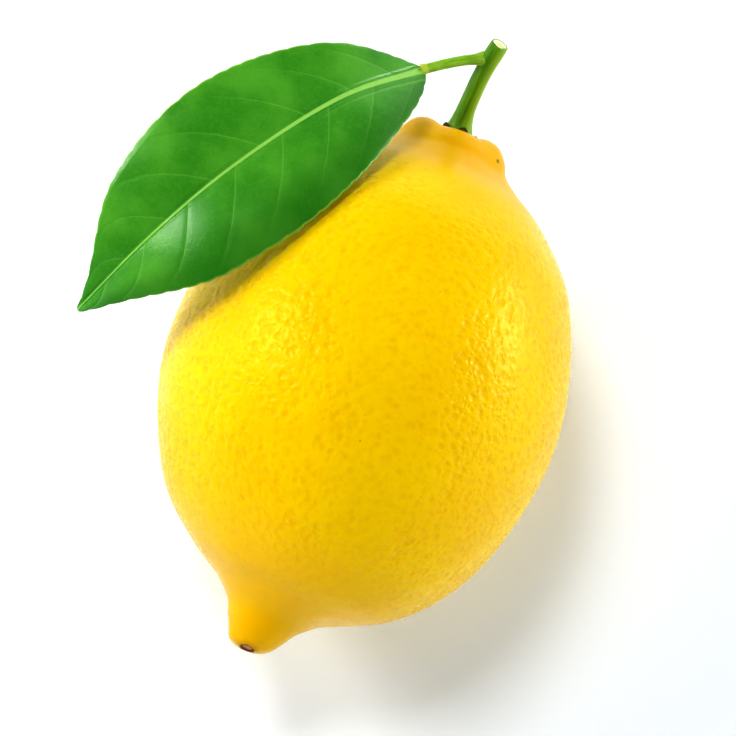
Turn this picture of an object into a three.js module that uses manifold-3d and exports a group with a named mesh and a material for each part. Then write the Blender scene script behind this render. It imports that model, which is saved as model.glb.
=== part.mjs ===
// A lemon, picked with its stem and one leaf, lying on its side on the small flat of its belly.
//
// Millimetres, +Z up. The origin is the middle of the flat spot that the fruit rests on.
// +Y runs along the fruit to the stem end, -Y to the nipple, and the leaf lies on the -X side.

import * as THREE from 'three';
import { mergeVertices } from 'three/addons/utils/BufferGeometryUtils.js';
import Module from 'manifold-3d';

// ---- Driving dimensions -------------------------------------------------------------

const FRUIT_LENGTH = 88.5; // nipple tip to the rim of the collar round the stem
const FRUIT_RADIUS = 31.5; // at the widest place
const REST_AT = 45; // from the nipple tip to the middle of the flat spot, along the fruit
const REST_DEPTH = 0.4; // how much of the belly the flat spot takes off
const REST_TILT = 0.8; // degrees by which the stem end is raised when the fruit lies still

const BODY_SWELL = 0.3; // of three faint, broad ribs along the fruit, and the belly lies between two
const RIB_END_RADIUS = 10; // the ribs fade out where the fruit is slimmer than this

const COLLAR_LOBES = 5;
const COLLAR_LOBE_HEIGHT = 0.36; // of the lobes' swell, to either side of the mean
const COLLAR_LOBE_ROUNDNESS = 0.7; // below 1 for full lobes with narrow creases between them
const COLLAR_LOBE_MEAN = 1.3; // sets the swell so that creases go in further than lobes stand out
const COLLAR_LOBE_LIFT = 0.6; // how far a lobe also reaches along the fruit, as a share of its swell
const COLLAR_TURN = 0.18; // radians from +X to the middle of the first lobe
const COLLAR_START = 77; // along the fruit, where the lobes begin to show
const RIM_DIP = 1.1; // how much lower the collar's rim is on the upper side, along the fruit
const HOLLOW_DEPTH = 2.2; // of the hollow inside the collar
const STEM_END_SHIFT = -0.8; // how far the collar's middle lies from the fruit's own, in X

const CALYX_RADIUS = 3.1;
const SEPALS = 5;
const SEPAL_NOTCH = 0.26; // depth of the notches between the sepals, as a share of the radius
const SEPAL_RISE = 0.35; // how far each sepal's tip turns up
const SEPAL_ROOT = 1.6; // radius where the sepals part from the button
const STEM_RADIUS = 1.45;
const STEM_FOOT_RADIUS = 2.05;
const PETIOLE_RADIUS = 0.75;

const LEAF_THICKNESS = 0.5;
const LEAF_TEETH = 26; // shallow teeth along each margin
const LEAF_TOOTH_DEPTH = 0.16;
const LEAF_END_WIDTH = 0.35; // the least half width, at the blunt ends
const LEAF_END = 0.002; // share of the midrib left bare at each end

// The leaf's two halves. The inner one leans over the fruit. The fold is a half's slope at
// the midrib, and the arch is how soon it bends down again, per mm from there. A lower taper
// makes it fuller towards both ends, and its tip begins to narrow at this share of the length.
const LEAF_INNER = { width: 13.7, fold: 0.38, arch: 0.019, taper: 0.68, tip: 0.33 };
const LEAF_OUTER = { width: 13.0, fold: 0.2, arch: 0.014, taper: 0.88, tip: 0.27 };

const GAP = 0.3; // between pieces that grow out of one another

// The fruit's half outline as [distance from the nipple tip, radius]. It ends in the
// hollow inside the collar, which the calyx sits in.
const FRUIT_OUTLINE = [
  [0, 0],
  [0.25, 1.9],
  [1.3, 3.5],
  [3.9, 5.0],
  [6.4, 6.8],
  [9.1, 10.8],
  [12.3, 16.5],
  [18.3, 22.9],
  [26.0, 27.5],
  [34.3, 30.3],
  [43.0, FRUIT_RADIUS],
  [51.9, 31.1],
  [60.7, 28.9],
  [68.5, 25.7],
  [73.7, 21.9],
  [78.3, 17.2],
  [81.3, 12.6],
  [83.7, 9.6],
  [86.1, 8.4],
  [87.8, 7.0],
  [FRUIT_LENGTH, 5.1],
  [87.9, 3.7],
  [86.7, 2.6],
  [FRUIT_LENGTH - HOLLOW_DEPTH, 0],
];

// Where the middle of the fruit lies to either side of a straight line from end to end:
// [distance from the nipple tip, sideways shift].
const FRUIT_SWAY = [
  [0, -1.7],
  [3.8, -1.2],
  [11.3, 1.3],
  [21, 0.5],
  [39, 0],
  [74, 0],
  [FRUIT_LENGTH, STEM_END_SHIFT],
];

// ---- Helpers ------------------------------------------------------------------------

const vector = (x, y, z) => new THREE.Vector3(x, y, z);

// A smooth line through [x, y] pairs, as points.
function smoothLine(pairs, count) {
  const curve = new THREE.SplineCurve(pairs.map(([x, y]) => new THREE.Vector2(x, y)));
  return curve.getSpacedPoints(count);
}

// The value at x of a smooth step-by-step table of [x, value] pairs.
function valueAt(pairs, x) {
  const last = pairs.length - 1;
  let i = 0;
  while (i < last - 1 && x > pairs[i + 1][0]) i += 1;
  const [x0, y0] = pairs[i];
  const [x1, y1] = pairs[i + 1];
  return THREE.MathUtils.lerp(y0, y1, THREE.MathUtils.smoothstep(x, x0, x1));
}

// Moves every vertex of a geometry with a function of its position.
function shape(geometry, move) {
  const position = geometry.attributes.position;
  const point = vector(0, 0, 0);
  for (let i = 0; i < position.count; i += 1) {
    point.fromBufferAttribute(position, i);
    move(point);
    position.setXYZ(i, point.x, point.y, point.z);
  }
  return geometry;
}

// A closed mesh with shared corners, without the empty triangles at a lathe's poles.
function weld(geometry) {
  const bare = geometry.clone();
  bare.deleteAttribute('normal');
  bare.deleteAttribute('uv');
  const welded = mergeVertices(bare, 1e-4);
  const corners = welded.index.array;
  const kept = [];
  for (let i = 0; i < corners.length; i += 3) {
    const [a, b, c] = corners.slice(i, i + 3);
    if (a !== b && b !== c && c !== a) kept.push(a, b, c);
  }
  welded.setIndex(kept);
  welded.computeVertexNormals();
  return welded;
}

// Bends a lathe that stands on the Y axis, from 0 to 1, along a curve.
function bendAlong(geometry, curve, side) {
  return shape(geometry, (point) => {
    const along = THREE.MathUtils.clamp(point.y, 0, 1);
    const centre = curve.getPointAt(along);
    const ahead = curve.getTangentAt(along);
    const across = side.clone().addScaledVector(ahead, -side.dot(ahead)).normalize();
    const up = across.clone().cross(ahead);
    centre.addScaledVector(across, point.x);
    centre.addScaledVector(up, point.z);
    point.copy(centre);
  });
}

function finish(name, geometry, color, roughness) {
  const material = new THREE.MeshStandardMaterial({ color, roughness, metalness: 0 });
  const mesh = new THREE.Mesh(geometry, material);
  mesh.name = name;
  return mesh;
}

// ---- The fruit ----------------------------------------------------------------------

// Swells and creases of the collar round the stem. The lobes fade out down the shoulder.
function collarSwell(along, angle) {
  const reach = THREE.MathUtils.smoothstep(along, COLLAR_START, FRUIT_LENGTH - 3);
  const lobe = Math.abs(Math.cos((COLLAR_LOBES / 2) * (angle - COLLAR_TURN)));
  return reach * COLLAR_LOBE_HEIGHT * (2 * Math.pow(lobe, COLLAR_LOBE_ROUNDNESS) - COLLAR_LOBE_MEAN);
}

// The rim's dip, on the side that is up when the fruit lies on its belly.
function rimDip(along, angle, radius) {
  const reach = THREE.MathUtils.smoothstep(along, COLLAR_START + 5, FRUIT_LENGTH);
  const outside = THREE.MathUtils.smoothstep(radius, CALYX_RADIUS - 0.5, CALYX_RADIUS + 1.5);
  return RIM_DIP * reach * outside * Math.max(0, Math.sin(angle)) ** 2;
}

// The ribs run from end to end. One is on top, and the belly is the flatter side opposite.
function bodySwell(along, angle) {
  const reach = Math.sin((Math.PI * along) / FRUIT_LENGTH);
  return -reach * BODY_SWELL * Math.sin(3 * angle);
}

function fruitGeometry() {
  const outline = smoothLine(FRUIT_OUTLINE.map(([along, radius]) => [radius, along]), 62);
  outline[0].x = 0;
  outline[outline.length - 1].x = 0;
  const lathe = new THREE.LatheGeometry(outline, 60);
  return shape(weld(lathe), (point) => {
    const radius = Math.hypot(point.x, point.z);
    const angle = Math.atan2(point.z, point.x);
    const collar = radius > CALYX_RADIUS ? collarSwell(point.y, angle) : 0;
    const share = Math.min(1, radius / RIB_END_RADIUS);
    const swollen = radius + collar + share * bodySwell(point.y, angle);
    const scale = radius > 0 ? swollen / radius : 1;
    point.x = point.x * scale + valueAt(FRUIT_SWAY, point.y);
    point.z *= scale;
    point.y += COLLAR_LOBE_LIFT * collar - rimDip(point.y, angle, radius);
  });
}

// Sets a geometry in the fruit's own place: lying along Y, its belly just below the ground.
function lieDown(geometry) {
  geometry.translate(0, -REST_AT, 0);
  geometry.rotateX(THREE.MathUtils.degToRad(REST_TILT));
  geometry.translate(0, 0, FRUIT_RADIUS - BODY_SWELL - REST_DEPTH);
  return geometry;
}

// Cuts away what lies below the ground.
async function flatten(geometry) {
  const wasm = await Module();
  wasm.setup();
  const solidOf = (source) => {
    const welded = weld(source);
    const mesh = new wasm.Mesh({
      numProp: 3,
      vertProperties: Float32Array.from(welded.attributes.position.array),
      triVerts: Uint32Array.from(welded.index.array),
    });
    return new wasm.Manifold(mesh);
  };
  const ground = new THREE.BoxGeometry(FRUIT_LENGTH, FRUIT_LENGTH, FRUIT_RADIUS);
  ground.translate(0, 0, -FRUIT_RADIUS / 2);
  const cut = solidOf(geometry).subtract(solidOf(ground)).getMesh();
  const flat = new THREE.BufferGeometry();
  flat.setAttribute('position', new THREE.BufferAttribute(Float32Array.from(cut.vertProperties), 3));
  flat.setIndex(new THREE.BufferAttribute(Uint32Array.from(cut.triVerts), 1));
  return flat;
}

// ---- The stem end -------------------------------------------------------------------

// The calyx is a low cone that widens into five short sepals, pressed on the fruit.
function calyxGeometry() {
  const outline = [
    [0, 0],
    [1.2, 0.05],
    [2.3, 0.45],
    [CALYX_RADIUS, 1.3],
    [CALYX_RADIUS - 0.25, 1.75],
    [2.1, 1.55],
    [1.3, 1.75],
    [0, 1.8],
  ];
  const points = outline.map(([radius, height]) => new THREE.Vector2(radius, height));
  const lathe = new THREE.LatheGeometry(points, 40);
  const sepals = shape(weld(lathe), (point) => {
    const radius = Math.hypot(point.x, point.z);
    const angle = Math.atan2(point.z, point.x);
    const tip = 0.5 + 0.5 * Math.cos(SEPALS * angle);
    const outer = THREE.MathUtils.smoothstep(radius, SEPAL_ROOT, CALYX_RADIUS);
    const scale = 1 - SEPAL_NOTCH * outer * (1 - tip);
    point.x *= scale;
    point.z *= scale;
    point.y += SEPAL_RISE * outer * tip;
  });
  return sepals.translate(STEM_END_SHIFT, FRUIT_LENGTH - HOLLOW_DEPTH + GAP, 0);
}

// A round stalk of unit length with a radius that changes along it.
function stalkGeometry(radii, sides, rings) {
  const shaft = smoothLine(radii.map(([along, radius]) => [radius, along]), rings);
  const outline = [new THREE.Vector2(0, 0), ...shaft, new THREE.Vector2(0, 1)];
  outline[1].y = 0;
  outline[outline.length - 2].y = 1;
  return weld(new THREE.LatheGeometry(outline, sides));
}

const stemCurve = new THREE.CubicBezierCurve3(
  vector(-0.8, 44.3, 31.4),
  vector(-1.1, 47.7, 32.7),
  vector(-0.4, 51.7, 39.8),
  vector(1.0, 55.9, 43.2),
);

const petioleCurve = new THREE.CatmullRomCurve3([
  vector(-1.65, 53.1, 41.8),
  vector(-3.1, 52.2, 42.2),
  vector(-5.4, 50.6, 42.7),
  vector(-8.2, 48.2, 43.0),
]);

function stemGeometry() {
  const radii = [
    [0, STEM_FOOT_RADIUS],
    [0.1, STEM_FOOT_RADIUS - 0.3],
    [0.28, STEM_RADIUS],
    [0.7, STEM_RADIUS],
    [0.9, STEM_RADIUS + 0.15],
    [1, STEM_RADIUS + 0.05],
  ];
  return bendAlong(stalkGeometry(radii, 16, 16), stemCurve, vector(1, 0, 0));
}

function petioleGeometry() {
  const radii = [
    [0, PETIOLE_RADIUS + 0.2],
    [0.15, PETIOLE_RADIUS],
    [0.8, PETIOLE_RADIUS],
    [0.93, PETIOLE_RADIUS + 0.15],
    [1, PETIOLE_RADIUS + 0.05],
  ];
  return bendAlong(stalkGeometry(radii, 12, 14), petioleCurve, vector(0, 0, 1));
}

// ---- The leaf -----------------------------------------------------------------------

const midribCurve = new THREE.CatmullRomCurve3([
  vector(-8.7, 47.8, 43.0),
  vector(-17.9, 36.6, 52.0),
  vector(-28.7, 19.0, 57.0),
  vector(-36.1, 5.9, 54.6),
  vector(-43.7, -7.3, 45.2),
]);

// The blade's half width at a place along the midrib: full in the middle, with a pointed tip.
function leafHalfWidth(along, half) {
  const body = Math.pow(Math.sin(Math.PI * along), half.taper);
  const tip = 0.55 + 0.45 * THREE.MathUtils.smoothstep(1 - along, 0, half.tip);
  const tooth = LEAF_TOOTH_DEPTH * Math.abs(Math.sin(Math.PI * LEAF_TEETH * along));
  return Math.max(LEAF_END_WIDTH, half.width * body * tip + tooth);
}

// The blade leaves the midrib in a shallow V whose halves arch over towards the margins.
function leafGeometry() {
  const box = new THREE.BoxGeometry(2, 1, 1, 12, 44, 1);
  return shape(weld(box), (point) => {
    const along = THREE.MathUtils.lerp(LEAF_END, 1 - LEAF_END, point.y + 0.5);
    const centre = midribCurve.getPointAt(along);
    const ahead = midribCurve.getTangentAt(along);
    const across = ahead.clone().cross(vector(0.05, 0, 1)).normalize();
    const up = across.clone().cross(ahead);
    const half = point.x < 0 ? LEAF_INNER : LEAF_OUTER;
    const out = point.x * leafHalfWidth(along, half);
    const rise = half.fold * Math.abs(out) - half.arch * out * out;
    centre.addScaledVector(across, out);
    centre.addScaledVector(up, rise + point.z * LEAF_THICKNESS);
    point.copy(centre);
  });
}

// ---- The whole lemon ----------------------------------------------------------------

const lemon = new THREE.Group();
lemon.add(finish('fruit', await flatten(lieDown(fruitGeometry())), 0xf5cc10, 0.4));
lemon.add(finish('calyx', lieDown(calyxGeometry()), 0x5d5a22, 0.8));
lemon.add(finish('stem', stemGeometry(), 0x86a532, 0.6));
lemon.add(finish('petiole', petioleGeometry(), 0x93bb3c, 0.55));
lemon.add(finish('leaf_blade', leafGeometry(), 0x2f8a2a, 0.4));

export default lemon;
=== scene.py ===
# %% [markdown]
# # A lemon with its stem and one leaf
#
# This notebook builds the looks of a whole lemon round a fixed frame. The frame is the
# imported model: its sizes and places are already right, so every piece here is made where the
# frame says and stands for the frame's own plain solid. Units are metres, +Z is up and +Y runs
# along the fruit to its stem end.

# %% Load the frame
import math

import bmesh
import bpy
import numpy as np
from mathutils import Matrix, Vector


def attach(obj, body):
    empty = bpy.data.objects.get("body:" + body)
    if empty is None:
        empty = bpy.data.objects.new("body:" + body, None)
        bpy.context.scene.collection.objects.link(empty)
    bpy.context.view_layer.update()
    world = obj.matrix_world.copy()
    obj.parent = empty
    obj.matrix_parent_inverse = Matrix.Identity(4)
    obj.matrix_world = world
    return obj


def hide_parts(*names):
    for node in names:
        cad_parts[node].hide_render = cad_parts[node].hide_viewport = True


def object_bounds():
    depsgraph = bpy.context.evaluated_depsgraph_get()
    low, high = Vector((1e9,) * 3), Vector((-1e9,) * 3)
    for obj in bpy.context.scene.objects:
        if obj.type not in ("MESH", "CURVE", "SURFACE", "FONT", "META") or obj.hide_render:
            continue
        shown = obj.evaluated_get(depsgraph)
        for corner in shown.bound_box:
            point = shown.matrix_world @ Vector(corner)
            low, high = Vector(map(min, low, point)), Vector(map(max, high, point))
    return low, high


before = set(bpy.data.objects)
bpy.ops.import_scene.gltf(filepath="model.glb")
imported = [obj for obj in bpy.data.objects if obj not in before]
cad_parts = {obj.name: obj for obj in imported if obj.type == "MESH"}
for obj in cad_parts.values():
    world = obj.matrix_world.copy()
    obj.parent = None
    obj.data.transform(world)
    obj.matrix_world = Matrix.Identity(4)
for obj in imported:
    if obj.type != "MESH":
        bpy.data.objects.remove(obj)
cad_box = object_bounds()
MM = 0.001
print("frame nodes:", sorted(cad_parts))
print("frame box, mm:", [round(c / MM, 1) for corner in cad_box for c in corner])

# %% [markdown]
# ## Shader maths as plain expressions
#
# Node trees are hard to read as lists of links. `Wire` wraps one output socket, and adding,
# multiplying or taking it from a number adds the Math node that does it. Every other node
# comes from its one method `node`, which sets the node's options first and then its sockets.
# The same class works in a material and in geometry nodes.


# %% The Wire class
class Wire:
    def __init__(self, tree, socket=None):
        self.tree = tree
        self.socket = socket

    def node(self, kind, settings=None, out=0, **sockets):
        """A new node of that type. A socket is named with _ for a space, or by number as s0."""
        made = self.tree.nodes.new(kind)
        for name, value in (settings or {}).items():
            setattr(made, name, value)
        for name, value in sockets.items():
            numbered = name[0] == "s" and name[1:].isdigit()
            target = made.inputs[int(name[1:]) if numbered else name.replace("_", " ")]
            if isinstance(value, Wire):
                self.tree.links.new(value.socket, target)
            else:
                target.default_value = value
        return Wire(self.tree, made.outputs[out] if made.outputs else None)

    def math(self, operation, *others):
        sockets = {f"s{i}": value for i, value in enumerate((self, *others))}
        return self.node("ShaderNodeMath", {"operation": operation}, **sockets)

    def vector(self, operation, *others, out=0):
        sockets = {f"s{i}": value for i, value in enumerate((self, *others))}
        return self.node("ShaderNodeVectorMath", {"operation": operation}, out, **sockets)

    def part(self, axis):
        return self.node("ShaderNodeSeparateXYZ", None, axis, s0=self)

    def ease(self, start, end):
        """0 before start, 1 after end and a smooth rise between them, or the other way round."""
        low, high, first, last = (start, end, 0.0, 1.0) if start < end else (end, start, 1.0, 0.0)
        settings = {"interpolation_type": "SMOOTHSTEP"}
        return self.node("ShaderNodeMapRange", settings, s0=self, s1=low, s2=high, s3=first, s4=last)

    def blend(self, a, b):
        """Colour a where this is 0 and b where it is 1."""
        a, b = [colour if isinstance(colour, Wire) else (*colour, 1.0) for colour in (a, b)]
        return self.node("ShaderNodeMix", {"data_type": "RGBA"}, 2, s0=self, s6=a, s7=b)

    def noise(self, scale, detail=2.0, out=0):
        return self.node("ShaderNodeTexNoise", None, out, Vector=self, Scale=scale, Detail=detail)

    def cells(self, scale, feature="F1"):
        return self.node("ShaderNodeTexVoronoi", {"feature": feature}, Vector=self, Scale=scale)

    def stretched(self, x, y, z):
        return self.vector("MULTIPLY", (x, y, z))

    def __add__(self, other):
        return self.math("ADD", other)

    def __sub__(self, other):
        return self.math("SUBTRACT", other)

    def __rsub__(self, other):
        return (self * -1.0) + other

    def __mul__(self, other):
        return self.math("MULTIPLY", other)

    def __truediv__(self, other):
        return self.math("DIVIDE", other)

    def __pow__(self, other):
        return self.math("POWER", other)

    __radd__ = __add__
    __rmul__ = __mul__


def srgb(red, green, blue):
    """A colour as a paint chart gives it, 0 to 255, turned into the light it reflects."""
    shares = np.array([red, green, blue]) / 255
    light = np.where(shares <= 0.04045, shares / 12.92, ((shares + 0.055) / 1.055) ** 2.4)
    return tuple(float(c) for c in light)


def material(name, paint):
    """A material with one Principled shader, filled in with the sockets that paint gives."""
    made = bpy.data.materials.new(name)
    made.use_nodes = True
    surface = made.node_tree.nodes["Principled BSDF"]
    for socket, value in paint(Wire(made.node_tree)).items():
        if isinstance(value, Wire):
            made.node_tree.links.new(value.socket, surface.inputs[socket])
        else:
            surface.inputs[socket].default_value = value
    print("material", name, "with", len(made.node_tree.nodes), "nodes")
    return made


# %% [markdown]
# ## Curves and easing
#
# A fruit has no straight edges, so nearly every size below is a smooth curve through a few
# chosen points. A Catmull-Rom spline passes through its points, which makes them easy to
# read as measures: the lemon's outline is a list of distances and radii. The easing and sine
# helpers take arrays of numbers and shader sockets alike, so that a pattern such as the
# leaf's veins can be written once and then both shape a surface and colour it.


# %% Curve helpers
def evenly(line, count):
    """The same line as count points, each as far from the next."""
    length = np.r_[0, np.cumsum(np.linalg.norm(np.diff(line, axis=0), axis=1))]
    even = np.linspace(0, length[-1], count)
    return np.stack([np.interp(even, length, axis) for axis in line.T], 1)


def spline(points, count, natural=False):
    """A smooth line through points. A natural one turns evenly where they are uneven."""
    p = np.array(points, float)
    before, after = (2 * p[0] - p[1], 2 * p[-1] - p[-2]) if natural else (p[0], p[-1])
    p = np.vstack([before, p, after])
    t = np.linspace(0, 1, 60, endpoint=False)[:, None]
    runs = []
    for a, b, c, d in zip(p[:-3], p[1:-2], p[2:-1], p[3:]):
        e, f, g = [np.linalg.norm(q - r) ** 0.5 if natural else 1 for q, r in ((b, a), (c, b), (d, c))]
        leave = ((b - a) / e - (c - a) / (e + f) + (c - b) / f) * f
        arrive = ((c - b) / f - (d - b) / (f + g) + (d - c) / g) * f
        cubic = 2 * b - 2 * c + leave + arrive
        square = 3 * (c - b) - 2 * leave - arrive
        runs.append(cubic * t**3 + square * t**2 + leave * t + b)
    return evenly(np.vstack(runs + [p[-2:-1]]), count)


def bezier(a, b, c, d, count):
    t = np.linspace(0, 1, 400)[:, None]
    a, b, c, d = [np.array(q, float) for q in (a, b, c, d)]
    return evenly((1 - t) ** 3 * a + 3 * (1 - t) ** 2 * t * b + 3 * (1 - t) * t**2 * c + t**3 * d, count)


def ease(x, start, end):
    if isinstance(x, Wire):
        return x.ease(start, end)
    t = np.clip((x - start) / (end - start), 0, 1)
    return t * t * (3 - 2 * t)


def sine(x):
    return x.math("SINE") if isinstance(x, Wire) else np.sin(x)


def fraction(x):
    return x.math("FRACT") if isinstance(x, Wire) else x - np.floor(x)


def amount(x):
    return x.math("ABSOLUTE") if isinstance(x, Wire) else np.abs(x)


def stepped(table, x):
    """The value at x of (x, value) pairs, with an eased change from each to the next."""
    result = np.full_like(x, table[0][1])
    for (x0, y0), (x1, y1) in zip(table, table[1:]):
        result = result + (y1 - y0) * ease(x, x0, x1)
    return result


# %% [markdown]
# ## Mesh helpers
#
# Pieces start from a bmesh operator, such as a cube that is cut finely or a profile that is
# spun, and are then shaped by moving their points with a function, as a sculptor would push
# clay. Numpy moves all the points at once. A finished piece rides on the frame's body and
# stands for one of its nodes.


# %% Mesh helpers
def to_mesh(name, bm):
    mesh = bpy.data.meshes.new(name)
    bm.to_mesh(mesh)
    bm.free()
    return mesh


def points_of(mesh):
    flat = np.empty(len(mesh.vertices) * 3, np.float32)
    mesh.vertices.foreach_get("co", flat)
    return flat.reshape(-1, 3).astype(float)


def set_points(mesh, points):
    mesh.vertices.foreach_set("co", points.astype(np.float32).ravel())
    mesh.update()


def keep_rest(mesh):
    """Keeps the points' present places as an attribute, for patterns that follow the piece."""
    rest = mesh.attributes.new("rest", "FLOAT_VECTOR", "POINT")
    rest.data.foreach_set("vector", points_of(mesh).astype(np.float32).ravel())


def spun(name, outline, steps):
    """A closed turned shape round the Y axis, from an outline of (radius, y) pairs."""
    bm = bmesh.new()
    corners = [bm.verts.new((radius, y, 0)) for radius, y in outline]
    edges = [bm.edges.new(pair) for pair in zip(corners, corners[1:])]
    turn = {"cent": (0, 0, 0), "axis": (0, 1, 0), "angle": 2 * math.pi}
    bmesh.ops.spin(bm, geom=corners + edges, steps=steps, use_merge=True, **turn)
    bmesh.ops.remove_doubles(bm, verts=bm.verts, dist=1e-6)
    bmesh.ops.recalc_face_normals(bm, faces=bm.faces)
    return to_mesh(name, bm)


def on_line(line, places):
    """Where places from 0 to 1 lie on a line of points, and which way it runs there."""
    steps = np.arange(len(line))
    ahead = np.gradient(line, axis=0)
    spots = np.clip(places, 0, 1) * (len(line) - 1)
    centre = np.stack([np.interp(spots, steps, axis) for axis in line.T], 1)
    ahead = np.stack([np.interp(spots, steps, axis) for axis in ahead.T], 1)
    return centre, ahead / np.linalg.norm(ahead, axis=1)[:, None]


def bend_along(points, line, side):
    """Bends points that stand on the Y axis, from 0 to 1, along a line."""
    centre, ahead = on_line(line, points[:, 1])
    across = np.array(side, float) - ahead * (ahead @ np.array(side, float))[:, None]
    across /= np.linalg.norm(across, axis=1)[:, None]
    return centre + across * points[:, :1] + np.cross(across, ahead) * points[:, 2:]


def uneven(points, scale, seed):
    """A smooth random field from about -1 to 1, made of a few turned sine waves."""
    draw = np.random.default_rng(seed)
    total = np.zeros(len(points))
    for _ in range(7):
        wave = draw.normal(size=3)
        wave *= draw.uniform(0.7, 1.4) / np.linalg.norm(wave)
        total += np.sin(points @ wave * 2 * math.pi / scale + draw.uniform(0, 6.28))
    return total / 3.2


def add_piece(mesh, node, slot_name, *materials):
    """Adds a finished piece, named as its mesh, that stands for a frame node."""
    piece = bpy.data.objects.new(mesh.name, mesh)
    bpy.context.collection.objects.link(piece)
    for made in materials:
        mesh.materials.append(made)
    mesh.polygons.foreach_set("use_smooth", [True] * len(mesh.polygons))
    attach(piece, "root")
    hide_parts(node)
    mesh.calc_loop_triangles()
    print("piece", mesh.name, "triangles:", len(mesh.loop_triangles))


# %% [markdown]
# ## The fruit's shape
#
# A lemon is a turned shape with a nipple at one end and a lobed collar round the stem at the
# other. A spun profile would crowd its points at the two poles, so the body starts from a
# cube cut into even squares. Each point is sent out to a direction, and its distance from
# the nipple is picked so that equal shares of the sphere's area land on equal shares of the
# lemon's. That gives squares of nearly one size all over, which the pores need. The two ends
# get a larger share, because their folds are finer.

# %% The fruit's measures, in millimetres
FRUIT_LENGTH = 88.5
FRUIT_RADIUS = 31.5
REST_AT = 45.0
REST_DEPTH = 0.4
REST_TILT = math.radians(0.8)
RIB = 0.3
COLLAR_LOBES = 5
COLLAR_LOBE_HEIGHT = 0.34
COLLAR_TURN = 0.18
COLLAR_START = 79
RIM_DIP = 1.1
HOLLOW_DEPTH = 2.2
STEM_END_SHIFT = -0.8

# (distance from the nipple tip, radius)
FRUIT_OUTLINE = [
    (0, 0), (0.25, 1.9), (1.3, 3.5), (3.9, 5.0), (6.4, 6.8), (9.1, 10.8), (12.3, 16.5),
    (18.3, 22.9), (26.0, 27.5), (34.3, 30.3), (43.0, FRUIT_RADIUS), (51.9, 31.1),
    (60.7, 28.9), (68.5, 25.7), (73.7, 21.9), (78.3, 17.2), (81.3, 12.6), (83.7, 9.6),
    (86.1, 8.4), (87.8, 7.0), (FRUIT_LENGTH, 5.1), (87.9, 3.7), (86.7, 2.6),
    (FRUIT_LENGTH - HOLLOW_DEPTH, 0),
]
# (distance from the nipple tip, sideways shift of the fruit's middle)
FRUIT_SWAY = [
    (0, -1.7), (3.8, -1.2), (11.3, 1.3), (21, 0.5), (39, 0), (74, 0), (FRUIT_LENGTH, STEM_END_SHIFT),
]


def lie_down(points):
    """From the fruit's own upright measures, in mm, to its place in the frame, in metres."""
    x, y, z = points[:, 0], points[:, 1] - REST_AT, points[:, 2]
    cos, sin = math.cos(REST_TILT), math.sin(REST_TILT)
    height = FRUIT_RADIUS - RIB - REST_DEPTH
    return np.stack([x, y * cos - z * sin, y * sin + z * cos + height], 1) * MM


# %% Cut a cube into even squares
CUTS = 127
bm = bmesh.new()
bmesh.ops.create_cube(bm, size=2)
bmesh.ops.subdivide_edges(bm, edges=bm.edges, cuts=CUTS, use_grid_fill=True)
bmesh.ops.recalc_face_normals(bm, faces=bm.faces)
peel_mesh = to_mesh("lemon_peel", bm)
print("squares on the fruit:", len(peel_mesh.polygons))

# %% [markdown]
# The collar's five lobes are swells with a soft crease between each pair. They start on the
# shoulder and end at the rim, which is lower on the upper side and lets the calyx show. The
# body also has three broad ribs, so faint that only the highlights show them, and a low
# uneven swelling, because no lemon is quite regular. A shallow fold marks the nipple's foot.


# %% Send each point to its place on the lemon
def collar_swell(along, angle):
    lobe = np.abs(np.cos(COLLAR_LOBES / 2 * (angle - COLLAR_TURN)))
    reach = ease(along, COLLAR_START, FRUIT_LENGTH - 2)
    return reach * COLLAR_LOBE_HEIGHT * (2 * (lobe**2 + 0.2) ** 0.5 - 1.4)


def on_fruit(along, angle, radius):
    """Points on the lemon at places along it and round it, with the swells and the bend."""
    swell = collar_swell(along, angle) * ease(radius, 2.4, 4.2)
    rib = -RIB * np.sin(math.pi * along / FRUIT_LENGTH) * np.sin(3 * angle)
    swollen = radius + swell + np.minimum(1, radius / 10) * rib
    x = swollen * np.cos(angle) + stepped(FRUIT_SWAY, along)
    dip = ease(along, 82, FRUIT_LENGTH) * ease(radius, 2.6, 4.6) * np.maximum(0, np.sin(angle)) ** 2
    return np.stack([x, along + 0.6 * swell - RIM_DIP * dip, swollen * np.sin(angle)], 1)


grid = np.tan(points_of(peel_mesh) * math.pi / 4)
grid /= np.linalg.norm(grid, axis=1)[:, None]
outline = spline([(r, y) for y, r in FRUIT_OUTLINE], 3000)
finer = 1 + 2.5 * ease(outline[:, 1], 12, 3) + 1.2 * ease(outline[:, 1], 80, 84)
area = np.cumsum(np.maximum(outline[:, 0], 0) * finer)
area = (area - area[0]) / (area[-1] - area[0])
where = np.interp((1 + grid[:, 1]) / 2, area, np.arange(len(outline)))
radius = np.maximum(np.interp(where, np.arange(len(outline)), outline[:, 0]), 0)
along = np.interp(where, np.arange(len(outline)), outline[:, 1])
angle = np.arctan2(grid[:, 2], grid[:, 0])
body = on_fruit(along, angle, radius)
middle = np.array([0, FRUIT_LENGTH / 2, 0])
outward = (body - middle) / np.linalg.norm(body - middle, axis=1)[:, None]
calm = ease(along, 2, 14) * ease(along, 86, 76)
lump = (uneven(body, 34, 1) * 0.16 + uneven(body, 12, 2) * 0.07 - 0.2) * calm
skin = lie_down(body + outward * lump[:, None]) / MM
FOLD_AT = np.array([9.5, -37.4, 31.5])
FOLD_DEPTH = 0.75
from_fold = np.linalg.norm((skin - FOLD_AT) * (0.7, 1.5, 0.5), axis=1)
skin += np.array([-0.25, 1.0, 0.0]) * (FOLD_DEPTH * ease(from_fold, 3.6, 0))[:, None]
print("fruit spans, mm:", np.round(np.ptp(skin, axis=0), 1))

# %% [markdown]
# The flower's scar is a small disc that is sunk a little into the nipple's tip, on its upper
# side, with a rim of dry brown skin.

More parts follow.
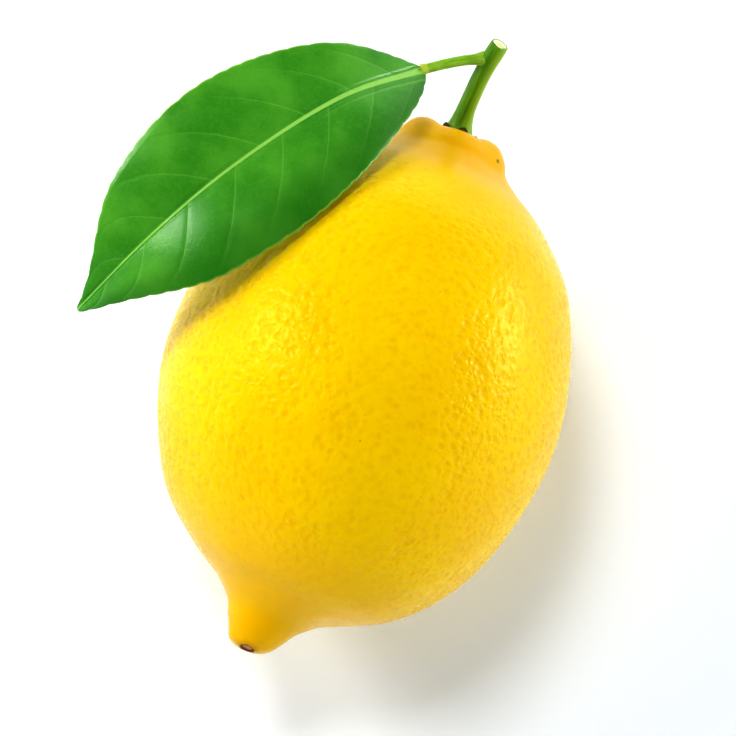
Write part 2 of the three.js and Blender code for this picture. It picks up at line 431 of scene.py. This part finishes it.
# %% Sink the scar
SCAR_AT = np.array([-1.5, -44.7, 32.0])
SCAR_RADIUS = 1.05
from_scar = np.linalg.norm(skin - SCAR_AT, axis=1)
dent = 0.32 * ease(from_scar, SCAR_RADIUS, 0.55 * SCAR_RADIUS)
rim = 0.1 * ease(np.abs(from_scar - 1.25 * SCAR_RADIUS), 0.35, 0)
skin += np.array([0, 0.87, -0.5]) * (dent - rim)[:, None]
skin[:, 1] = np.maximum(skin[:, 1], cad_box[0][1] / MM)
set_points(peel_mesh, skin * MM)

# %% [markdown]
# ## Pores
#
# The peel is full of oil glands, each under a small dimple. Dimples at random but even
# distances are just what a Voronoi texture gives: the distance to the nearest cell centre is
# turned into a bowl. Large dimples are mixed with smaller ones, and the deeper of the two
# counts. The same function shapes the mesh, through geometry nodes, and darkens the dimples
# in the material, so that colour and shape agree. The pores fade out on the nipple and on the
# collar, where the skin is smooth.

# %% The pore pattern, for the mesh and the material
PORE_STEP = 1.5 * MM
SMALL_PORE_STEP = 0.95 * MM
PORE_DEPTH = 0.09 * MM
PORE_WANDER = 0.9 * MM


def pore_cover(place):
    """1 on the body, and less on the collar and the nipple, where the skin is smooth."""
    along = place.part(1) / MM + REST_AT
    return 0.15 + 0.85 * (along.ease(78.0, 64.0) * along.ease(6.0, 20.0))


def pore_pattern(place):
    """How deep the dimple is: 0 between the pores and about 1 in the deepest ones."""
    bent = place.noise(500.0, 1.0, out=1).vector("MULTIPLY_ADD", (PORE_WANDER,) * 3, place)
    large = bent.cells(1 / PORE_STEP).ease(0.6, 0.08)
    small = bent.cells(1 / SMALL_PORE_STEP).ease(0.55, 0.1) * 0.6
    bowl = large.math("MAXIMUM", small)
    return bowl * pore_cover(place) * (0.35 + 1.1 * place.noise(240.0, 1.0))


def press(mesh, pattern, depth):
    """A copy of the mesh whose points are pushed in by a pattern of their places."""
    group = bpy.data.node_groups.new("press", "GeometryNodeTree")
    for way in ("INPUT", "OUTPUT"):
        group.interface.new_socket("Geometry", in_out=way, socket_type="NodeSocketGeometry")
    start = Wire(group)
    normal = start.node("GeometryNodeInputNormal")
    push = normal.vector("MULTIPLY", pattern(start.node("GeometryNodeInputPosition")) * -depth)
    shape = start.node("NodeGroupInput")
    moved = start.node("GeometryNodeSetPosition", Geometry=shape, Offset=push)
    start.node("NodeGroupOutput", s0=moved)
    holder = bpy.data.objects.new("press", mesh)
    bpy.context.collection.objects.link(holder)
    holder.modifiers.new("press", "NODES").node_group = group
    pressed = bpy.data.meshes.new_from_object(
        holder.evaluated_get(bpy.context.evaluated_depsgraph_get())
    )
    bpy.data.objects.remove(holder)
    name = mesh.name
    bpy.data.meshes.remove(mesh)
    pressed.name = name
    return pressed


before = points_of(peel_mesh)
peel_mesh = press(peel_mesh, pore_pattern, PORE_DEPTH)
skin = points_of(peel_mesh)
pushed = np.linalg.norm(skin - before, axis=1) / MM
print("pores: mean depth %.3f mm, deepest %.3f mm" % (pushed.mean(), pushed.max()))
skin[:, 2] = np.maximum(skin[:, 2], 0)
set_points(peel_mesh, skin)
print("points on the flat spot:", int((skin[:, 2] <= 0).sum()))

# %% [markdown]
# ## Peel
#
# Ripe peel is a warm, saturated yellow with a waxy gloss. Under the wax it lets a little
# light in, which softens its shadows. The colour drifts between a brighter and a warmer
# yellow over a centimetre or two, the pores are a little darker and warmer, and the skin is
# browner round the flower's scar. The gloss is sharp enough for the bumps between the pores
# to break each highlight into small glints.

# %% Paint the peel
PEEL_BRIGHT = srgb(243, 209, 0)
PEEL_WARM = srgb(240, 199, 0)
PEEL_PORE = srgb(232, 184, 0)
# darker, warmer yellow of the collar and the nipple: partly their own tone, partly painted shade
PEEL_END_TONE_AND_SHADE = srgb(230, 176, 0)
SCAR_BROWN = srgb(112, 58, 10)
SCAR_PALE = srgb(206, 150, 112)
SPECK_AT = (6.95 * MM, 40.32 * MM, 35.61 * MM)


def paint_peel(start):
    place = start.node("ShaderNodeTexCoord", None, 3)
    pit = pore_pattern(place)
    along = place.part(1) / MM + REST_AT
    drift = place.noise(55.0, 3.0).ease(0.3, 0.7)
    colour = drift.blend(PEEL_WARM, PEEL_BRIGHT)
    # Partly the ends' own tone and partly painted shade: the collar and the nipple are painted a darker,
    # warmer yellow.
    neck = along.ease(72.0, 84.0)
    nipple = along.ease(18.0, 4.0)
    colour = (neck * 0.8 + nipple * 0.6).blend(colour, PEEL_END_TONE_AND_SHADE)
    colour = (pit * 0.4).blend(colour, PEEL_PORE)
    from_speck = place.vector("DISTANCE", SPECK_AT, out=1) / MM + 0.5 * place.noise(1500.0, 2.0)
    colour = (from_speck.ease(0.75, 0.45) * 0.7).blend(colour, SCAR_BROWN)
    fleck = place.cells(420.0).ease(0.1, 0.03) * place.noise(130.0, 1.0).ease(0.56, 0.7)
    colour = (fleck * 0.3).blend(colour, SCAR_BROWN)
    from_scar = place.vector("DISTANCE", tuple(SCAR_AT * MM), out=1) / (SCAR_RADIUS * MM)
    ragged = from_scar + 0.5 * place.noise(900.0, 2.0)
    ring = ragged.ease(1.6, 1.25)
    colour = (ragged.ease(2.6, 1.2) * 0.35).blend(colour, SCAR_BROWN)
    colour = ring.blend(colour, SCAR_BROWN)
    colour = ragged.ease(1.15, 0.9).blend(colour, SCAR_PALE)
    fine = place.noise(1250.0, 2.0)
    height = 0.5 * fine * pore_cover(place) - pit + ring * place.noise(1800.0, 3.0)
    bump = start.node("ShaderNodeBump", Strength=1.0, Distance=0.085 * MM, Height=height)
    return {
        "Base Color": colour,
        "Roughness": 0.2 + 0.1 * pit + 0.08 * fine + 0.4 * ring + 0.12 * neck,
        "Normal": bump,
        "Specular IOR Level": 0.18,
        "Specular Tint": (1.0, 0.85, 0.3, 1.0),
        "Subsurface Weight": 0.3,
        "Subsurface Radius": (1.0, 0.55, 0.1),
        "Subsurface Scale": 2.0 * MM,
    }


add_piece(peel_mesh, "fruit", "peel", material("peel", paint_peel))

# %% [markdown]
# ## Calyx
#
# The calyx is the flower's dry green-brown button. Its five short sepals are pressed in the
# hollow of the collar and turn up at their tips. It is turned from a profile like a shallow
# dish, and the dish's edge is then drawn into sepals and wrinkled.

# %% Turn the calyx
CALYX_RADIUS = 3.1
SEPALS = 5
SEPAL_RISE = 0.75
GAP = 0.3
CALYX_OUTLINE = [
    (0, 0), (1.2, 0.05), (2.3, 0.45), (CALYX_RADIUS, 1.3), (2.95, 1.68), (2.3, 1.6), (1.7, 1.5),
    (1.3, 1.72), (0.7, 1.78), (0, 1.8),
]
calyx_mesh = spun("calyx_button", spline(CALYX_OUTLINE, 44), 90)
p = points_of(calyx_mesh)
radius = np.hypot(p[:, 0], p[:, 2])
angle = np.arctan2(p[:, 2], p[:, 0])
tip = 0.5 + 0.5 * np.cos(SEPALS * angle)
outer = ease(radius, 1.6, CALYX_RADIUS)
scale = 1 - outer * (0.26 * (1 - tip) ** 1.5 + 0.04 * uneven(p, 1.5, 3) + 0.03)
top = ease(p[:, 1], 0.6, 1.5)
wrinkle = uneven(p, 1.1, 4) * 0.05 + np.cos(25 * angle) * 0.03 * ease(radius, 1, 2)
p[:, 0] *= scale
p[:, 2] *= scale
p[:, 1] += SEPAL_RISE * outer * tip + wrinkle * top - 0.1 * top * ease(radius, 1.5, 2.2)
keep_rest(calyx_mesh)
foot = np.array([STEM_END_SHIFT, FRUIT_LENGTH - HOLLOW_DEPTH + GAP, 0])
set_points(calyx_mesh, lie_down(p + foot))


def paint_calyx(start):
    place = start.node("ShaderNodeTexCoord", None, 3)
    rest = start.node("ShaderNodeAttribute", {"attribute_name": "rest"}, 1)
    reach = rest.stretched(1, 0, 1).vector("LENGTH", out=1) + 0.6 * place.noise(1100.0, 2.0)
    patch = place.noise(900.0, 3.0)
    green = patch.ease(0.35, 0.65).blend(srgb(88, 118, 26), srgb(132, 160, 48))
    colour = reach.ease(2.9, 3.5).blend(green, srgb(70, 58, 20))
    grain = place.noise(3500.0, 3.0)
    bump = start.node("ShaderNodeBump", Strength=0.8, Distance=0.08 * MM, Height=grain + patch)
    return {"Base Color": colour, "Roughness": 0.7 + 0.2 * grain, "Normal": bump}


add_piece(calyx_mesh, "calyx", "dry_calyx", material("dry_calyx", paint_calyx))

# %% [markdown]
# ## Stem and leaf stalk
#
# Both are tapering stalks that bend. Each is turned upright with its length from 0 to 1, its
# faint ribs are pressed in, and the whole is then bent along a curve. The upright places are
# kept as an attribute, so that the bark's streaks follow the bend. The stem was cut, and its
# pale wood shows in the slightly hollow end.


# %% Turn and bend the stem
def stalk(name, radii, rings, sides):
    """An upright stalk from 0 to 1, of (place along, radius in mm) pairs."""
    shaft = spline([(radius, y * 10) for y, radius in radii], rings)
    inner = [(shaft[-1, 0] * share, 10 - dip) for share, dip in ((0.9, 0), (0.7, 0.06), (0.35, 0.1))]
    profile = [(0, 0), (shaft[0, 0] * 0.6, 0), *map(tuple, shaft), *inner, (0, 9.88)]
    return spun(name, [(radius, y / 10) for radius, y in profile], sides)


STEM_LINE = bezier((-0.8, 43.5, 31.3), (-1.1, 47.5, 32.4), (-0.4, 51.7, 39.8), (1.0, 55.9, 43.2), 300)
STEM_RADII = [(0, 2.4), (0.05, 2.1), (0.13, 1.75), (0.28, 1.48), (0.7, 1.42), (0.9, 1.5), (1, 1.42)]
stem_mesh = stalk("stem_twig", STEM_RADII, 90, 64)
keep_rest(stem_mesh)
p = points_of(stem_mesh)
angle = np.arctan2(p[:, 2], p[:, 0])
rib = np.abs(np.sin(2.5 * angle + 0.9 * p[:, 1])) ** 0.8
scale = 0.94 + 0.06 * rib + 0.015 * uneven(p * (1, 6, 1), 3, 5)
p[:, 0] *= np.minimum(scale, 1)
p[:, 2] *= np.minimum(scale, 1)
set_points(stem_mesh, bend_along(p, STEM_LINE, (1, 0, 0)) * MM)


def paint_stem(start):
    rest = start.node("ShaderNodeAttribute", {"attribute_name": "rest"}, 1)
    along = rest.part(1)
    from_middle = rest.stretched(1, 0, 1).vector("LENGTH", out=1)
    streak = rest.stretched(1.3, 2.0, 1.3).noise(1.1, 2.0)
    colour = streak.ease(0.3, 0.7).blend(srgb(62, 118, 4), srgb(108, 158, 18))
    # Painted light: the stem is painted paler towards +X, its lit side, and stays the darker streaked green
    # on the other, shaded side.
    colour = rest.part(0).ease(-0.2, 1.3).blend(colour, srgb(150, 190, 44))
    colour = (along.ease(0.2, 0.0) * 0.5).blend(colour, srgb(132, 172, 50))
    dot = rest.stretched(1, 9, 1).cells(2.4).ease(0.16, 0.08)
    colour = (dot * 0.35).blend(colour, srgb(186, 206, 96))
    cut = along.ease(0.978, 0.988) * from_middle.ease(1.36, 1.26)
    wood = from_middle.ease(0.25, 1.0).blend(srgb(222, 228, 170), srgb(240, 244, 204))
    wood = from_middle.ease(1.15, 1.3).blend(wood, srgb(150, 160, 70))
    bruise = rest.stretched(1, 0, 1).vector("DISTANCE", (1.1, 0.0, 0.5), out=1).ease(0.75, 0.35)
    wood = (bruise * 0.6).blend(wood, srgb(84, 92, 30))
    colour = cut.blend(colour, wood)
    height = rest.stretched(1, 2, 1).noise(4.0, 3.0) + dot * 0.4
    bump = start.node("ShaderNodeBump", Strength=0.6, Distance=0.07 * MM, Height=height)
    return {
        "Base Color": colour,
        "Roughness": 0.42 + 0.3 * cut,
        "Normal": bump,
        "Specular IOR Level": 0.3,
    }


add_piece(stem_mesh, "stem", "green_twig", material("green_twig", paint_stem))

# %% Turn and bend the leaf stalk
PETIOLE_LINE = spline(
    [(-0.7, 53.4, 41.1), (-3.1, 51.9, 42.1), (-5.4, 50.3, 42.6), (-9.0, 47.5, 43.3)], 300, True
)
PETIOLE_RADII = [(0, 1.25), (0.1, 0.98), (0.22, 0.82), (0.85, 0.76), (0.92, 0.86), (0.97, 0.9), (1, 0.8)]
petiole_mesh = stalk("leaf_stalk", PETIOLE_RADII, 60, 40)
keep_rest(petiole_mesh)
p = points_of(petiole_mesh)
angle = np.arctan2(p[:, 2], p[:, 0])
groove = ease(np.cos(angle), 0.75, 1.0) * 0.12
p[:, 0] *= 1 - groove
set_points(petiole_mesh, bend_along(p, PETIOLE_LINE, (0, 0, 1)) * MM)


def paint_petiole(start):
    rest = start.node("ShaderNodeAttribute", {"attribute_name": "rest"}, 1)
    along = rest.part(1)
    streak = rest.stretched(1.5, 3.0, 1.5).noise(2.2, 2.0)
    colour = streak.ease(0.3, 0.7).blend(srgb(128, 176, 38), srgb(156, 196, 66))
    ring = along.ease(0.86, 0.93)
    colour = (ring * 0.75).blend(colour, srgb(196, 206, 84))
    height = rest.stretched(1, 2, 1).noise(5.0, 3.0)
    bump = start.node("ShaderNodeBump", Strength=0.5, Distance=0.05 * MM, Height=height)
    return {
        "Base Color": colour,
        "Roughness": 0.4 + 0.1 * streak,
        "Normal": bump,
        "Specular IOR Level": 0.3,
    }


add_piece(petiole_mesh, "petiole", "green_petiole", material("green_petiole", paint_petiole))

# %% [markdown]
# ## Leaf
#
# A citrus leaf is a thin, stiff blade, folded in a shallow V along its midrib, with side
# veins that curve towards the tip and a finely toothed margin. It starts as a flat grid with
# a thickness. Each point knows its place along the leaf and its share of the way out to the
# margin, so one formula can fold, arch and narrow the whole blade. The veins are sunk in the
# upper side and stand out on the lower one, as on a real leaf.

# %% A flat leaf of unit size
LEAF_COLUMNS = 112
LEAF_ROWS = 270
bm = bmesh.new()
bmesh.ops.create_grid(bm, x_segments=LEAF_COLUMNS, y_segments=LEAF_ROWS, size=1)
bmesh.ops.recalc_face_normals(bm, faces=bm.faces)
bmesh.ops.solidify(bm, geom=bm.faces[:], thickness=1)
bmesh.ops.recalc_face_normals(bm, faces=bm.faces)
leaf_mesh = to_mesh("leaf", bm)
flat = points_of(leaf_mesh)
across = flat[:, 0]
along = (flat[:, 1] + 1) / 2
upper = flat[:, 2] > flat[:, 2].mean()
set_points(leaf_mesh, np.stack([across, along, np.where(upper, 0.5, -0.5)], 1))
keep_rest(leaf_mesh)
faces_up = np.array([face.normal.z > -0.5 for face in leaf_mesh.polygons])
print("leaf squares:", len(leaf_mesh.polygons), "upper side:", int(faces_up.sum()))

# %% [markdown]
# The vein pattern takes a place on the leaf and gives how near it is to a side vein. A side
# vein leaves the midrib every eighth of the leaf, runs out and forward, and curves up to
# the tip before it reaches the margin. The two halves are out of step.

# %% Where the side veins run
VEINS = 8.0
LEAF_LENGTH = 70.0  # a round figure, which only sets how wide the veins look


def vein_phase(along, out, inner):
    """Counts the side veins: each one lies where the phase is a whole number."""
    breadth = amount(sine(along * math.pi)) ** 0.6
    forward = 0.15 * out * breadth + 0.06 * out**3
    return (along - forward) * VEINS + 0.37 + 0.45 * inner


def vein_distance(along, out, inner):
    """How far a place is from the nearest side vein, in mm."""
    return (0.5 - amount(fraction(vein_phase(along, out, inner)) - 0.5)) * (0.8 * LEAF_LENGTH / VEINS)


# %% Fold and shape the blade
LEAF_THICKNESS = 0.44
MIDRIB = spline(
    [(-8.7, 47.8, 43.0), (-17.9, 36.6, 52.0), (-28.7, 19.0, 57.0), (-36.1, 5.9, 54.6), (-43.7, -7.3, 45.2)],
    500,
    True,
)
# For the half that leans over the fruit, and for the other one.
LEAF_WIDTHS = (13.7, 13.0)
LEAF_FOLDS = (0.38, 0.2)
LEAF_ARCHES = (0.019, 0.014)
LEAF_TAPERS = (0.68, 0.88)
LEAF_TIPS = (0.33, 0.27)
TOOTH_DEPTHS = (0.18, 0.15)
LEAF_TEETH = 26
inner = np.where(across < 0, 1.0, 0.0)
out = np.abs(across)


def by_half(inner_value, outer_value):
    return np.where(across < 0, inner_value, outer_value)


place = 0.002 + 0.996 * along
teeth = np.abs(np.sin(math.pi * (LEAF_TEETH * place + 0.35 * np.sin(17 * place)))) ** 0.8
width = by_half(*LEAF_WIDTHS) * np.sin(math.pi * place) ** by_half(*LEAF_TAPERS)
width *= 0.55 + 0.45 * ease(1 - place, 0, by_half(*LEAF_TIPS))
width = np.maximum(np.where(place < 0.5, 0.5, 0.12), width + by_half(*TOOTH_DEPTHS) * teeth)
mm_out = across * width
rise = by_half(*LEAF_FOLDS) * np.abs(mm_out) - by_half(*LEAF_ARCHES) * mm_out**2
rise += 0.22 * out**2 * np.sin(2 * math.pi * (3.3 * place + by_half(0.1, 0.6))) * ease(place, 0, 0.2)

near_vein = ease(vein_distance(place, out, inner), 0.55, 0.1) * ease(out, 1.0, 0.75)
puff = np.abs(np.sin(math.pi * vein_phase(place, out, inner))) * 4 * out * (1 - out)
reach = np.abs(mm_out)
rib_width = 0.7 - 0.45 * place
groove = ease(reach, rib_width * 1.7, rib_width * 0.7)
ridge = np.sqrt(np.clip(1 - (reach / rib_width) ** 2, 0, 1))
above = 0.07 * puff - 0.05 * near_vein - 0.16 * groove + 0.2 * ridge
below = 0.08 * puff - 0.09 * near_vein - (0.75 - 0.45 * place) * ridge
half_thick = LEAF_THICKNESS * (0.5 - 0.28 * ease(out, 0.93, 1.0))
rise += np.where(upper, half_thick + above, below - half_thick)

centre, ahead = on_line(MIDRIB, place)
sideways = np.cross(ahead, (0.05, 0, 1))
sideways /= np.linalg.norm(sideways, axis=1)[:, None]
upward = np.cross(sideways, ahead)
set_points(leaf_mesh, (centre + sideways * mm_out[:, None] + upward * rise[:, None]) * MM)
print("leaf spans, mm:", np.round(np.ptp(points_of(leaf_mesh), axis=0) / MM, 1))

# %% [markdown]
# ## Leaf green
#
# The upper side is a deep waxy green with a pale midrib, faint pale side veins and an even
# fainter net between them. The lower side is duller and paler. Both are painted with one
# function, as the pattern is the same and only the colours and the gloss differ.


# %% Paint the leaf
def leaf_paint(painted_shade_green, deep, fresh, vein_colour, gloss):
    def paint(start):
        rest = start.node("ShaderNodeAttribute", {"attribute_name": "rest"}, 1)
        spot = start.node("ShaderNodeTexCoord", None, 3)
        side = rest.part(0)
        along = rest.part(1)
        out = amount(side)
        inner = side.ease(0.001, -0.001)
        vein = vein_distance(along, out, inner).ease(0.2, 0.04) * out.ease(0.9, 0.4)
        vein = vein * along.ease(0.0, 0.08)
        net = spot.cells(1000.0, "DISTANCE_TO_EDGE").ease(0.1, 0.02)
        blotch = spot.noise(110.0, 3.0)
        colour = blotch.ease(0.32, 0.68).blend(deep, fresh)
        colour = (spot.noise(1500.0, 2.0).ease(0.45, 0.75) * 0.25).blend(colour, fresh)
        colour = (net * 0.04).blend(colour, vein_colour)
        # Painted shade: the half that leans over the fruit is painted darker towards its margin, and the
        # other half a little.
        shade = out.ease(0.25, 0.9) * (0.05 + 0.85 * inner)
        colour = (shade * 0.6).blend(colour, painted_shade_green)
        colour = (vein * 0.17).blend(colour, vein_colour)
        mm_out = out * (13.0 * amount(sine(along * math.pi)) ** 0.75)
        # Painted shade: a darker line in the groove beside the midrib, near the base of the half over the
        # fruit.
        base = along.ease(0.42, 0.1) * inner
        groove_shade = (mm_out - 0.95).math("ABSOLUTE").ease(0.5, 0.15) * base
        colour = (groove_shade * 0.6).blend(colour, deep)
        second = (mm_out - 1.35).math("ABSOLUTE").ease(0.22, 0.08) * base
        colour = (second * 0.2).blend(colour, vein_colour)
        rib = (mm_out - (0.12 + 0.36 * (1.0 - along) ** 2.0)).ease(0.1, -0.1)
        colour = rib.blend(colour, vein_colour)
        edge = out.ease(0.975, 0.995)
        colour = (edge * 0.8).blend(colour, srgb(150, 196, 74))
        height = 0.5 * spot.noise(700.0, 2.0) - 0.2 * net - 0.4 * vein
        bump = start.node("ShaderNodeBump", Strength=0.5, Distance=0.05 * MM, Height=height)
        return {
            "Base Color": colour,
            "Roughness": gloss + 0.1 * blotch + 0.08 * rib,
            "Normal": bump,
            "Specular IOR Level": 0.5,
        }

    return paint


# The first green of each side is its painted shade.
upper_green = leaf_paint(
    srgb(28, 104, 8), srgb(60, 146, 26), srgb(92, 170, 48), srgb(158, 212, 104), 0.28
)
under_green = leaf_paint(
    srgb(88, 138, 60), srgb(96, 146, 66), srgb(120, 168, 86), srgb(172, 206, 122), 0.52
)
leaf_mesh.polygons.foreach_set("material_index", np.where(faces_up, 0, 1))
add_piece(
    leaf_mesh,
    "leaf_blade",
    "leaf_green",
    material("leaf_upper_green", upper_green),
    material("leaf_under_green", under_green),
)

# %% [markdown]
# ## Camera
#
# A long lens from above shows the fruit with hardly any perspective, as in a product picture.


# %% Aim the camera
def direction(azimuth, elevation):
    """A unit vector, with the azimuth turned from -Y and the elevation from the floor."""
    turn, lift = math.radians(azimuth), math.radians(elevation)
    return Vector((math.sin(turn) * math.cos(lift), -math.cos(turn) * math.cos(lift), math.sin(lift)))


camera_data = bpy.data.cameras.new("camera")
camera_data.lens = 150
camera_data.sensor_width = 36
camera_data.clip_start = 0.01
camera = bpy.data.objects.new("camera", camera_data)
bpy.context.collection.objects.link(camera)
AIM = Vector((-0.3, 3.0, 30.8)) * MM
CAMERA_AZIMUTH = 21.4
CAMERA_ELEVATION = 79
CAMERA_DISTANCE = 479
back = direction(CAMERA_AZIMUTH, CAMERA_ELEVATION)
camera.location = AIM + back * CAMERA_DISTANCE * MM
camera.rotation_euler = back.to_track_quat("Z", "Y").to_euler()
bpy.context.scene.camera = camera
print("camera at, mm:", [round(c / MM, 1) for c in camera.location])

# %% [markdown]
# ## Floor, world and lights
#
# The floor is a plain white sheet, with a trace of blue against the yellow light that the
# fruit throws on it. It glows as well: faintly and a little blue near the fruit, which lightens
# and cools its shadow, and fully far from it, like the lit paper of a studio, so that it stays
# white up to the horizon. The world is a white horizon that is dim overhead, so that the fruit's
# sides catch a pale edge. Three soft boxes give the highlights, and the other three give the
# soft shadow and its fill, without being mirrored in the peel.

# %% Lay the floor
bm = bmesh.new()
bmesh.ops.create_grid(bm, x_segments=1, y_segments=1, size=12)
floor_mesh = to_mesh("floor", bm)
floor = bpy.data.objects.new("floor", floor_mesh)
floor.location.z = -0.05 * MM
bpy.context.collection.objects.link(floor)


def paint_floor(start):
    far = start.node("ShaderNodeTexCoord", None, 3).vector("LENGTH", out=1).ease(0.12, 0.45)
    # A faint blue glow near the fruit lightens and cools the floor's shadow; far away it glows fully white.
    glow = far.blend((0.08, 0.1, 0.14), (1.0, 1.0, 1.0))
    return {
        "Base Color": (0.93, 0.965, 1.0, 1),
        "Roughness": 0.9,
        "Emission Color": glow,
        "Emission Strength": 1.0,
    }


floor_mesh.materials.append(material("white_floor", paint_floor))

# %% Light the scene
world = bpy.data.worlds.new("studio")
bpy.context.scene.world = world
world.use_nodes = True
sky = Wire(world.node_tree)
height = sky.node("ShaderNodeTexCoord", None, 0).part(2)
shade = height.ease(0.12, 0.4).blend((1.0, 1.0, 1.0), (0.15, 0.15, 0.15))
world.node_tree.links.new(shade.socket, world.node_tree.nodes["Background"].inputs["Color"])
bpy.context.scene.view_settings.view_transform = "Standard"
bpy.context.scene.view_settings.gamma = 0.76


def softbox(name, towards, distance, width, height, watts, mirrored=True):
    """A soft light that faces the fruit from a direction, at a distance in mm."""
    light = bpy.data.lights.new(name, "AREA")
    light.shape = "RECTANGLE"
    light.size, light.size_y = width * MM, height * MM
    light.energy = watts
    lamp = bpy.data.objects.new(name, light)
    towards = Vector(towards).normalized()
    lamp.location = AIM + towards * distance * MM
    lamp.rotation_euler = towards.to_track_quat("Z", "Y").to_euler()
    lamp.visible_camera = False
    lamp.visible_glossy = mirrored
    bpy.context.collection.objects.link(lamp)


softbox("key", (-0.82, 0.06, 0.55), 450, 100, 230, 1.0)
softbox("side", (0.8, 0.45, 0.1), 450, 190, 80, 0.9)
softbox("rim", (0.2, 0.95, 0.12), 450, 300, 50, 0.07)
softbox("overhead", (-0.3, 0.3, 1.0), 1000, 300, 300, 5.1, mirrored=False)
softbox("fill", (0.3, -0.75, 0.75), 700, 400, 400, 1.25, mirrored=False)
softbox("low left", (-1.0, -0.1, 0.08), 600, 300, 120, 0.15, mirrored=False)
